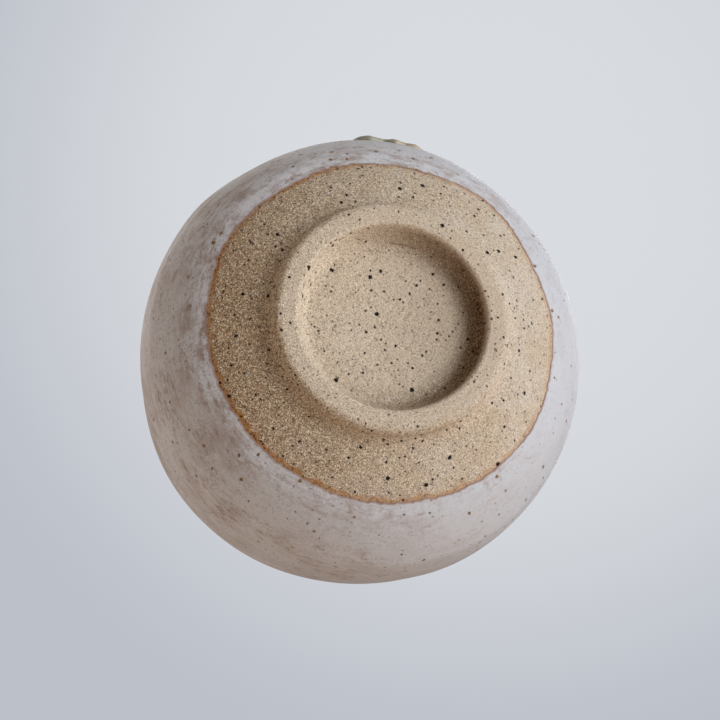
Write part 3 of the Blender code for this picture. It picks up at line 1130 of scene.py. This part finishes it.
@dataclass
class BowlBody(Piece):
    """Thrown wall and floor of bare clay, seen from the foot out to the glaze and in the recess."""

    node = "bowl_body"
    slot = "stoneware"
    line: GlazeLine
    tooling: Tooling
    columns: int = 720
    recess_end: float = 22.5
    foot_end: float = 31.0
    bare_start: float = 33.0
    bare_end: float = 49.0
    past_edge: float = 4.0
    hidden_start: float = 1.2
    recess_rows: int = 56
    foot_rows: int = 3
    bare_rows: int = 46
    hidden_rows: int = 8
    lip_rows: int = 6
    inside_rows: int = 5
    edge_rows: int = 1200

    def grid(self) -> TurnedGrid:
        """Turn the clay section and push its bare part out of true.

        Returns:
            The grid, with the distance to the glaze on each point.
        """
        recess = np.linspace(0.0, self.recess_end, self.recess_rows)
        under_foot = np.linspace(self.recess_end, self.foot_end, self.foot_rows)
        bare = np.linspace(self.bare_start, self.bare_end, self.bare_rows)
        radii = np.concatenate([recess, under_foot, bare])
        under = np.stack([radii, self.clay.wall_height(radii)], axis=1)
        wall = self.clay.wall(float(under[-1, 1]) + self.hidden_start, self.hidden_rows)
        lip, inside = self.clay.lip(self.lip_rows), self.clay.inside(self.inside_rows)
        section = np.concatenate([under, wall, lip, inside])
        angle = around(self.columns)
        true = places(section[:, :1], angle, section[:, 1:])
        shown = (np.arange(len(section)) < len(radii))[:, None]
        rise = np.where(shown, self.tooling.relief(true), 0.0)
        rise[0] = rise[0].mean()
        radius, height = pushed(section, rise, -left_normals(section))
        points = self.hand.shape(self.clay, radius, angle, height)
        values = {Coat.BARE: self.from_glaze(radii, len(section))}
        return TurnedGrid(points, start_pole=True, end_pole=True, values=values)

    def from_glaze(self, radii: Array, rows: int) -> Array:
        """Distance along the wall from each point of the underside to the glaze's edge.

        Args:
            radii: Radius of each row of the underside.
            rows: Number of rows of the whole section.

        Returns:
            Distance for each row and angle, 0 past the edge.
        """
        fine = np.linspace(0.0, self.bare_end + self.past_edge, self.edge_rows)
        along = run_lengths(np.stack([fine, self.clay.wall_height(fine)], axis=1))
        angle = around(self.columns)
        start = self.clay.wall_radius(np.array(self.line.height))
        edge = start + self.line.slide(self.clay, angle, np.full_like(angle, self.line.height))
        gap = np.interp(edge, fine, along) - np.interp(radii, fine, along)[:, None]
        whole = np.zeros((rows, self.columns))
        whole[: len(radii)] = np.maximum(0.0, gap)
        return whole


@dataclass
class FootRing(Piece):
    """Turned foot: a cove off the wall, a rounded ring, a worn land and the wall of the recess."""

    node = "foot_ring"
    slot = "turned_clay"
    tooling: Tooling
    outer_radius: float = 31.8
    land_width: float = 3.4
    outer_round: float = 2.2
    cove_width: float = 4.8
    inner_end: float = 19.6
    buried: float = 0.03
    softening: float = 0.4
    step: float = 0.1
    cove_hollow: float = 0.55
    worn_share: float = 0.25
    worn_height: float = 0.5
    flat_height: float = 0.2
    back_inset: float = 0.5
    rows: int = 84
    back_rows: int = 5
    columns: int = 720

    def section(self) -> Array:
        """Section from the cove's tip over the land to the recess, softened by a moving average.

        Returns:
            Radius and height of points a tenth of a millimetre apart.
        """
        tip = self.outer_radius + self.cove_width
        tip_height, further = self.clay.wall_height(np.array([tip, tip + self.step])) + self.buried
        slope = (further - tip_height) / self.step
        pull = 0.5 * self.cove_width
        corners = np.array(
            [
                (tip, tip_height),
                (tip - pull, tip_height - pull * slope),
                (self.outer_radius, self.outer_round + self.cove_hollow * (tip_height - self.outer_round)),
                (self.outer_radius, self.outer_round),
            ]
        )
        t = np.linspace(0.0, 1.0, 80)[:, None]
        blend = np.concatenate([(1 - t) ** 3, 3 * t * (1 - t) ** 2, 3 * t * t * (1 - t), t**3], axis=1)
        cove = blend @ corners
        turn = np.linspace(0.0, math.pi / 2.0, 20)[1:]
        land_outer = self.outer_radius - self.outer_round
        rounded = land_outer + self.outer_round * np.cos(turn)
        outer = np.stack([rounded, self.outer_round * (1.0 - np.sin(turn))], axis=1)
        land_inner = land_outer - self.land_width
        lip, lip_height = self.clay.recess_lip, self.clay.recess_lip_height
        land = np.array([(land_inner, 0.0), ((land_inner + lip) / 2.0, lip_height / 3.0)])
        seen = np.linspace(lip_height, self.clay.seat_height, 60)
        wall = np.stack([self.clay.recess_radius(seen), seen], axis=1)
        under = np.linspace(wall[-1, 0], self.inner_end, 12)[1:]
        sunk = self.buried * np.linspace(0.0, 1.0, 12)[1:]
        floor = np.stack([under, self.clay.recess_height(under) + sunk], axis=1)
        rough = np.concatenate([cove, outer, land, wall, floor])
        even = at_lengths(rough, np.arange(0.0, run_lengths(rough)[-1], self.step))
        half = int(self.softening / (2.0 * self.step))
        window = np.hanning(2 * half + 3)[1:-1]
        before, after = 2 * even[:1] - even[half:0:-1], 2 * even[-1:] - even[-2 : -half - 2 : -1]
        padded = np.concatenate([before, even, after])
        soft = [np.convolve(padded[:, i], window / window.sum(), mode="valid") for i in (0, 1)]
        return np.stack(soft, axis=1)

    def grid(self) -> TurnedGrid:
        """Turn the ring's section, with the same relief as the wall that it runs into.

        Returns:
            The grid, closed over the hidden back of the ring.
        """
        fine = self.section()
        face = at_lengths(fine, np.linspace(0.0, run_lengths(fine)[-1], self.rows))
        inner, outer = face[-1, 0] + self.back_inset, face[0, 0] - self.back_inset
        back_radius = np.linspace(inner, outer, self.back_rows)
        back = np.stack([back_radius, self.clay.wall_height(back_radius) + 4.0 * self.buried], axis=1)
        angle = around(self.columns)
        true = places(face[:, :1], angle, face[:, 1:])
        rough_share = 1.0 - self.worn_share
        share = self.worn_share + rough_share * smooth(face[:, 1:] / self.worn_height)
        rise = self.tooling.relief(true) * share
        rise = np.where(face[:, 1:] < self.flat_height, np.minimum(rise, 0.0), rise)
        radius, height = pushed(face, rise, left_normals(face))
        back = places(back[:, :1], angle, back[:, 1:])
        points = np.concatenate([places(radius, angle, height), back])
        return TurnedGrid(points, closed=True, values={Coat.BARE: np.full(points.shape[:2], FAR)})


@dataclass
class OuterGlaze(Piece):
    """Dipped coat from its wandering edge up the wall and over the lip."""

    node = "outer_glaze"
    slot = "white_glaze"
    line: GlazeLine
    thickness: float = 1.0
    edge_step: float = 0.24
    edge_round: float = 0.7
    buried: float = 0.06
    bead: float = 0.03
    bead_place: float = 1.2
    bead_width: float = 0.7
    lip_overlap: float = 5.0
    end_taper: float = 0.08
    back_gap: float = 0.12
    even_start: float = 4.0
    swell_start: float = 0.3
    swell_reach: float = 5.0
    taper_reach: float = 3.0
    back_start: float = 0.3
    back_end: float = 0.7
    calm: float = 1.0
    calm_low: float = 6.0
    calm_high: float = 4.0
    throwing_rise: float = 0.16
    throwing_size: tuple[float, float, float] = (60.0, 60.0, 6.5)
    throwing_start: float = 26.0
    throwing_reach: float = 14.0
    throwing_least: float = 0.35
    fine_rise: float = 0.03
    fine_size: tuple[float, float, float] = (24.0, 24.0, 2.1)
    dip_rise: float = 0.06
    dip_size: float = 9.0
    thin_side: float = 20.0
    thin_size: float = 22.0
    wall_rows: int = 160
    lip_rows: int = 24
    inside_rows: int = 40
    rows: int = 92
    back_rows: int = 16
    columns: int = 720

    def clay_line(self) -> Array:
        """Clay under the coat, from the nominal glaze line up, over the lip and down to the overlap.

        Returns:
            Radius and height of each point.
        """
        inside = self.clay.inside(self.inside_rows)
        inside = inside[inside[:, 1] > self.clay.body_height - self.lip_overlap]
        wall = self.clay.wall(self.line.height, self.wall_rows)
        return np.concatenate([wall, self.clay.lip(self.lip_rows), inside])

    def coat(self, away: Array, total: float) -> Array:
        """Thickness at a distance from the edge: a round nose, a slight bead, then up to full.

        Args:
            away: Distance from the edge along the wall.
            total: Length of the coat.

        Returns:
            Height of the face over the clay.
        """
        nose = np.sqrt(1.0 - (1.0 - np.clip(away / self.edge_round, 0.0, 1.0)) ** 2)
        rise = (self.edge_step + self.buried) * nose - self.buried
        full = (self.thickness - self.edge_step) * smooth((away - self.swell_start) / self.swell_reach)
        bead = self.bead * np.exp(-(((away - self.bead_place) / self.bead_width) ** 2))
        taper = self.end_taper * smooth((away - total + self.taper_reach) / self.taper_reach)
        return rise + full + bead * nose - taper

    def grid(self) -> TurnedGrid:
        """Lay the coat on the clay, slide it to its wandering edge and close it behind.

        Returns:
            The grid, with the wall coordinates, the distance from the edge and the thin share.
        """
        clay_line = self.clay_line()
        total = float(run_lengths(clay_line)[-1])
        near = np.array([0.0, 0.03, 0.08, 0.15, 0.24, 0.34, 0.46, 0.6, 0.8, 1.05, 1.35, 1.7, 2.1, 2.6, 3.2])
        stops = np.concatenate([near, np.linspace(self.even_start, total, self.rows)])
        base = at_lengths(clay_line, stops)
        normal = -left_normals(base)
        normal[0] = normal[1]
        face = base + normal * self.coat(stops, total)[:, None]
        back_stops = np.linspace(total - self.back_start, self.back_end, self.back_rows)
        back_base = at_lengths(clay_line, back_stops)
        back_normal = left_normals(back_base)
        back = back_base + back_normal * self.back_gap
        back[-1] = back_base[-1] - back_normal[-1] * self.buried
        section = np.concatenate([face, back])
        along = np.concatenate([stops, back_stops])[:, None]
        angle = around(self.columns)
        radius, height = section[:, :1], section[:, 1:]
        slide = self.line.slide(self.clay, angle, height)
        low = height < self.clay.belly_height
        clay_radius = np.concatenate([base, back_base])[:, :1]
        lift = self.clay.wall_height(clay_radius + slide) - self.clay.wall_height(clay_radius)
        radius = radius + np.where(low, slide, 0.0)
        height = height + np.where(low, lift, 0.0)
        lie = places(np.full_like(along, LIE_RADIUS), angle, along)
        on_face = (np.arange(len(section)) < len(face))[:, None]
        low_end = smooth((along - self.calm) / self.calm_low)
        high_end = smooth((total - along - self.calm) / self.calm_high)
        push = self.throwing(lie, section[:, 1:]) * on_face * low_end * high_end
        both = np.concatenate([normal, -back_normal])
        radius = radius + push * both[:, :1]
        height = height + push * both[:, 1:]
        points = self.hand.shape(self.clay, radius, angle, height)
        away = np.broadcast_to(along, points.shape[:2])
        thin = self.thinness(lie, angle, along)
        values = {Coat.LIE: lie * MM, Coat.GLAZED: away, Coat.THIN: thin}
        return TurnedGrid(points, closed=True, values=values)

    def throwing(self, lie: Array, height: Array) -> Array:
        """Soft rings left by the thrower's fingers, and the slow thick and thin of a dipped coat.

        Args:
            lie: Places on the wall laid out round a cylinder.
            height: Height above the foot's land.

        Returns:
            Rise along the surface's normal.
        """
        up_wall = smooth((height - self.throwing_start) / self.throwing_reach)
        share = self.throwing_least + (1.0 - self.throwing_least) * up_wall
        rings = lumps(lie, self.throwing_size, Pattern.FINGER_RINGS) * share
        fine = lumps(lie, self.fine_size, Pattern.FINE_RINGS)
        dip = lumps(lie, self.dip_size, Pattern.DIPPED_COAT)
        return self.throwing_rise * rings + self.fine_rise * fine + self.dip_rise * dip

    def thinness(self, lie: Array, angle: Array, along: Array) -> Array:
        """Where the coat is thin: more on one side of the bowl, none at the very edge.

        Args:
            lie: Places on the wall laid out round a cylinder.
            angle: Place round the bowl, in radians.
            along: Distance from the edge.

        Returns:
            Share from 0 to 1.
        """
        side = 0.5 + 0.5 * np.cos(angle - math.radians(self.thin_side))
        cloud = 0.25 * lumps(lie, self.thin_size, Pattern.THIN_CLOUDS)
        return smooth((along - 0.6) / 2.0) * np.clip(0.25 + 0.5 * side + cloud, 0.0, 1.0)


@dataclass
class InnerGlaze(Piece):
    """Poured liner from under the lip's coat down over the floor."""

    node = "inner_glaze"
    slot = "liner_glaze"
    thickness: float = 0.96
    top: float = 70.6
    back_gap: float = 0.12
    ring_rise: float = 0.28
    ring_step: float = 7.0
    ring_size: float = 30.0
    dip_rise: float = 0.05
    dip_size: float = 8.0
    calm: float = 4.0
    calm_top: float = 12.0
    calm_middle: float = 14.0
    dip_calm: float = 10.0
    rows: int = 118
    back_rows: int = 20
    inside_rows: int = 60
    columns: int = 600

    def grid(self) -> TurnedGrid:
        """Lay the liner on the inside of the clay, with the finger rings that the thrower left.

        Returns:
            The grid, with the wall coordinates and the thin share.
        """
        inside = self.clay.inside(self.inside_rows)
        inside = inside[inside[:, 1] < self.top]
        total = float(run_lengths(inside)[-1])
        stops = np.linspace(0.0, total, self.rows)
        base = at_lengths(inside, stops)
        base[-1, 0] = 0.0
        normal = -left_normals(base)
        normal[-1] = (0.0, 1.0)
        face = base + normal * self.thickness
        back_stops = np.linspace(0.0, total, self.back_rows)
        back_base = at_lengths(inside, back_stops)
        back_normal = -left_normals(back_base)
        back_normal[-1] = (0.0, 1.0)
        back = (back_base + back_normal * self.back_gap)[::-1]
        back[0, 0] = 0.0
        section = np.concatenate([back, face])
        along = np.concatenate([back_stops[::-1], stops])[:, None]
        angle = around(self.columns)
        lie = places(np.full_like(along, LIE_RADIUS), angle, along)
        on_face = (np.arange(len(section)) >= len(back))[:, None]
        spiral = np.cos(2.0 * math.pi * (along / self.ring_step + angle / (2.0 * math.pi)))
        uneven = 0.55 + 0.45 * lumps(lie, self.ring_size, Pattern.LINER_RINGS)
        top_end = smooth((along - self.calm) / self.calm_top)
        fading = top_end * smooth((total - along) / self.calm_middle)
        dip = self.dip_rise * lumps(lie, self.dip_size, Pattern.LINER_COAT)
        dip = dip * smooth((total - along) / self.dip_calm)
        push = (self.ring_rise * spiral * uneven * fading + dip) * on_face
        both = np.concatenate([back_normal[::-1], normal])
        radius, height = pushed(section, push, both)
        points = self.hand.shape(self.clay, radius, angle, height)
        thin = np.clip(0.35 + 0.5 * spiral, 0.0, 1.0) * fading
        away = np.full(points.shape[:2], FAR)
        values = {Coat.LIE: lie * MM, Coat.GLAZED: away, Coat.THIN: thin}
        return TurnedGrid(points, start_pole=True, end_pole=True, values=values)


@dataclass
class AshRun(Piece):
    """Run of ash glaze on the outside, thick at its lower end where it stopped."""

    node = "ash_glaze_run"
    slot = "ash_glaze"
    angle: float = 144.5
    half_width: float = 12.0
    top: float = 69.0
    bottom: float = 28.0
    thickness: float = 0.9
    bead: float = 1.9
    bead_reach: float = 7.0
    squareness: float = 3.5
    lobes: float = 0.03
    lobe_spacing: float = 0.9
    lobe_place: float = -0.7
    lobe_fade: float = 0.4
    edge_fullness: float = 0.4
    glaze_face: float = 1.0
    sunk: float = 0.08
    outline_rise: float = 0.05
    outline_size: float = 1.6
    lump_rise: float = 0.22
    lump_size: float = 3.2
    ripple_rise: float = 0.12
    ripple_size: float = 1.5
    pattern_radius: float = 60.0
    outline_radius: float = 40.0 / 6.0
    rows: int = 110
    columns: int = 260

    def face_radius(self, height: Array) -> Array:
        """Radius of the outer glaze's face at a height, read off the offset wall.

        Args:
            height: Height above the foot's land.

        Returns:
            Distance from the axis.
        """
        wall = self.clay.wall(self.bottom - 8.0, 120)
        face = wall - left_normals(wall) * (self.glaze_face - self.sunk)
        return np.interp(height, face[:, 1], face[:, 0])

    def grid(self) -> TurnedGrid:
        """Spread a half ball into a rounded square on the wall, drawn down into lobes and a bead.

        Returns:
            The grid, with the thin share rising to the outline.
        """
        tilt = np.linspace(0.0, math.pi, self.rows)[:, None]
        turn = around(self.columns)
        power = self.squareness
        square = (np.abs(np.cos(turn)) ** power + np.abs(np.sin(turn)) ** power) ** (-1.0 / power)
        reach = np.sin(tilt) * square
        across, along = reach * np.cos(turn), reach * np.sin(turn)
        outline = places(self.outline_radius, turn, 0.0)
        ragged = 1.0 + self.outline_rise * lumps(outline, self.outline_size, Pattern.RUN_OUTLINE)
        across, along = across * ragged, along * ragged
        from_lobe = across - self.lobe_place
        lobe = 1.0 + self.lobes * np.cos(2.0 * math.pi * from_lobe / self.lobe_spacing)
        middle, half = (self.top + self.bottom) / 2.0, (self.top - self.bottom) / 2.0
        height = middle + half * along * np.where(along < 0.0, lobe, 1.0)
        angle = np.radians(self.angle + self.half_width * across)
        bead = self.bead * np.exp(-(((height - self.bottom) / self.bead_reach) ** 2))
        thickness = self.thickness + bead * (1.0 - self.lobe_fade * np.abs(from_lobe))
        flatness = np.maximum(0.0, np.cos(tilt)) ** self.edge_fullness
        on_wall = places(self.pattern_radius, angle, height)
        uneven = 1.0 + self.lump_rise * lumps(on_wall, self.lump_size, Pattern.RUN_LUMPS)
        uneven = uneven + self.ripple_rise * lumps(on_wall, self.ripple_size, Pattern.RUN_RIPPLES)
        radius = self.face_radius(height) + thickness * flatness * uneven
        points = self.hand.shape(self.clay, radius, angle, height)
        edge = np.clip(np.sin(tilt) ** 6 * np.ones_like(turn), 0.0, 1.0)
        upward = smooth((height - self.bottom) / (self.top - self.bottom))
        thin = 0.6 * edge + 0.5 * upward
        return TurnedGrid(points, start_pole=True, end_pole=True, values={Coat.THIN: thin})


@dataclass(frozen=True)
class Viewpoint:
    """Camera of the photograph, from a fit of the foot, the glaze line and the outline.

    The foot's centre lies at `foot` in the camera's own frame (right, down, forward). The bowl's axis
    leans by `tilt` from the line of sight, towards `swing` in the picture.
    """

    foot: tuple[float, float, float] = (8.9, -11.6, 430.0)
    tilt: float = 19.4
    swing: float = 53.4
    lens: float = 82.5
    turn: float = -45.0

    def to_world(self, vector: tuple[float, float, float]) -> Vector:
        """Turn a direction from the camera's frame (right, down, forward) into the bowl's frame.

        The bowl's +Z is its axis. The picture's downward direction, square to the axis, points at `turn`.

        Args:
            vector: Direction or place in the camera's frame.

        Returns:
            The same in the bowl's frame.
        """
        tilt, swing = math.radians(self.tilt), math.radians(self.swing)
        lean, up = math.sin(tilt), Vector((0.0, 0.0, 1.0))
        axis = Vector((-lean * math.cos(swing), lean * math.sin(swing), math.cos(tilt)))
        down = Vector((0.0, 1.0, 0.0))
        down = (down - down.dot(axis) * axis).normalized()
        side = axis.cross(down)
        turn = math.radians(self.turn)
        down_world = Vector((math.cos(turn), math.sin(turn), 0.0))
        side_world = up.cross(down_world)
        given = Vector(vector)
        return given.dot(axis) * up + given.dot(down) * down_world + given.dot(side) * side_world

    def build(self) -> None:
        """Make the camera and give it to the scene."""
        camera = bpy.data.objects.new("camera", bpy.data.cameras.new("camera"))
        bpy.context.scene.collection.objects.link(camera)
        camera.data.lens = self.lens
        camera.data.sensor_width = 36.0
        camera.data.clip_start = 0.01
        camera.data.clip_end = 20.0
        right, down, forward = (self.to_world(axis) for axis in ((1, 0, 0), (0, 1, 0), (0, 0, 1)))
        turned = Matrix((right, -down, -forward)).transposed().to_4x4()
        camera.matrix_world = Matrix.Translation(-self.to_world(self.foot) * MM) @ turned
        bpy.context.scene.camera = camera


@dataclass(frozen=True)
class Lamp:
    """Soft square lamp: its place from the bowl's middle, its size and its power in watts."""

    name: str
    place: Vector
    size: float
    power: float
    colour: str = "#ffffff"


@dataclass(frozen=True)
class Glow:
    """Soft glow of the light tent: its way from the camera (right, down, forward), strength, colour."""

    towards: tuple[float, float, float]
    strength: float
    colour: str


@dataclass(frozen=True)
class Studio:
    """Pale floor, plain light tent and soft lamps.

    The photograph looks at the foot, from under the plane that the bowl stands on, so the floor shows
    and catches light only on its upper side and lets the lamps below it through.
    """

    view: Viewpoint
    middle: tuple[float, float, float] = (0.0, 0.0, 0.037)
    floor_reach: float = 6.0
    backdrop: str = "#d8dbdf"
    backdrop_edge: str = "#bcc0c9"
    backdrop_middle: tuple[float, float, float] = (0.07, -0.10, 1.0)
    floor_colour: str = "#c9d0da"
    glow_reach: tuple[float, float] = (0.2, 1.0)
    backdrop_fall: tuple[float, float] = (0.94, 0.998)
    glows: tuple[Glow, ...] = (
        Glow((0.0, 1.0, -0.25), 0.55, "#ffe8d8"),
        Glow((1.0, 1.0, 0.0), 0.18, "#ffe8d8"),
        Glow((-1.0, -1.0, 1.0), 0.42, "#fff6f0"),
        Glow((-1.0, 0.0, 1.0), 0.06, "#fff4ee"),
        Glow((-1.0, 0.0, 0.0), 0.44, "#ffeee2"),
        Glow((1.0, 0.0, -1.0), 0.11, "#ffe8d0"),
    )
    key_rake: float = math.radians(47.0)
    key_drop: float = math.radians(-10.0)

    def lamps(self) -> tuple[Lamp, ...]:
        """Key from the right of the photograph, raking over the foot, and two lamps over the bowl.

        Returns:
            The lamps.
        """
        right = self.view.to_world((1.0, 0.0, 0.0))
        down = self.view.to_world((0.0, 1.0, 0.0))
        sideways = right * math.cos(self.key_drop) + down * math.sin(self.key_drop)
        sideways = (sideways * Vector((1.0, 1.0, 0.0))).normalized()
        key = sideways * math.sin(self.key_rake) - Vector((0.0, 0.0, math.cos(self.key_rake)))
        return (
            Lamp("key_lamp", key * 0.9, 0.8, 10.4, "#f0f6ff"),
            Lamp("window_lamp", Vector((-0.75, -0.10, 0.95)), 0.7, 3.3, "#f2f6ff"),
            Lamp("back_lamp", Vector((-0.35, 0.60, 1.00)), 0.7, 1.5),
        )

    def build(self) -> None:
        """Make the floor, the lamps and the world."""
        self.build_floor()
        for lamp in self.lamps():
            self.build_lamp(lamp)
        self.build_world()

    def build_lamp(self, lamp: Lamp) -> None:
        """Make one lamp, turned towards the bowl.

        Args:
            lamp: What it is and where it stands.
        """
        light = bpy.data.lights.new(lamp.name, "AREA")
        light.energy = lamp.power
        light.size = lamp.size
        light.color = linear(lamp.colour)[:3]
        item = bpy.data.objects.new(lamp.name, light)
        bpy.context.scene.collection.objects.link(item)
        item.location = Vector(self.middle) + lamp.place
        item.rotation_mode = "QUATERNION"
        item.rotation_quaternion = (-lamp.place).to_track_quat("-Z", "Y")

    def build_floor(self) -> None:
        """Make the floor: a square at the foot's land, see-through from below."""
        reach = self.floor_reach
        mesh = bpy.data.meshes.new("floor")
        signs = ((-1.0, -1.0), (1.0, -1.0), (1.0, 1.0), (-1.0, 1.0))
        mesh.from_pydata([(x * reach, y * reach, 0.0) for x, y in signs], [], [(0, 1, 2, 3)])
        floor = bpy.data.objects.new("floor", mesh)
        bpy.context.scene.collection.objects.link(floor)
        floor.location.z = -0.05 * MM
        floor.visible_shadow = False
        floor.visible_diffuse = False
        recipe = Recipe(bpy.data.materials.new("matt_paper_floor"))
        mesh.materials.append(recipe.dress({"Base Color": linear(self.floor_colour), "Roughness": 0.9}))
        below = recipe.add("NewGeometry", out="Backfacing")
        paper = recipe.tree.nodes["Principled BSDF"].outputs[0]
        mixed = recipe.add("MixShader", below, paper, recipe.add("BsdfTransparent"))
        recipe.feed(recipe.tree.nodes["Material Output"], {"Surface": mixed})

    def build_world(self) -> None:
        """Make the world: a pale backdrop to the camera, a light tent to everything else."""
        world = bpy.data.worlds.new("light_tent")
        bpy.context.scene.world = world
        recipe = Recipe(world)
        towards = recipe.add("TexCoord", out="Generated")
        tent = None
        for glow in self.glows:
            axis = self.view.to_world(glow.towards).normalized()
            facing = recipe.add("VectorMath", towards, axis, out="Value", operation="DOT_PRODUCT")
            level = recipe.add("MapRange", facing, *self.glow_reach, 0.0, glow.strength, **EASED)
            lit = recipe.add("Background", Color=linear(glow.colour), Strength=level)
            tent = recipe.add("AddShader", tent, lit) if tent else lit
        middle = self.view.to_world(self.backdrop_middle).normalized()
        off = recipe.add("VectorMath", towards, middle, out="Value", operation="DOT_PRODUCT")
        fall = recipe.add("MapRange", off, *self.backdrop_fall, **EASED)
        colour = recipe.tint(self.backdrop_edge, self.backdrop, fall)
        wall = recipe.add("Background", Color=colour, Strength=1.0)
        to_camera = recipe.add("LightPath", out="Is Camera Ray")
        shown = recipe.add("MixShader", to_camera, tent, wall)
        recipe.feed(recipe.tree.nodes["World Output"], {"Surface": shown})


def main() -> None:
    """Build the bowl, the studio and the camera."""
    logging.basicConfig(level=logging.INFO, format="%(name)s %(message)s")
    bpy.context.scene.view_settings.view_transform = "Standard"
    clay, hand, line, tooling = Clay(), Hand(), GlazeLine(), Tooling()
    bare = BareStoneware().make()
    BowlBody(clay, hand, line, tooling).build(bare)
    FootRing(clay, hand, tooling).build(bare)
    OuterGlaze(clay, hand, line).build(SatinGlaze("satin_white_glaze_dipped").make())
    InnerGlaze(clay, hand).build(SatinGlaze("satin_white_glaze_poured", thin_share=0.6).make())
    AshRun(clay, hand).build(AshGlaze().make())
    view = Viewpoint()
    view.build()
    Studio(view).build()


if __name__ == "__main__":
    main()
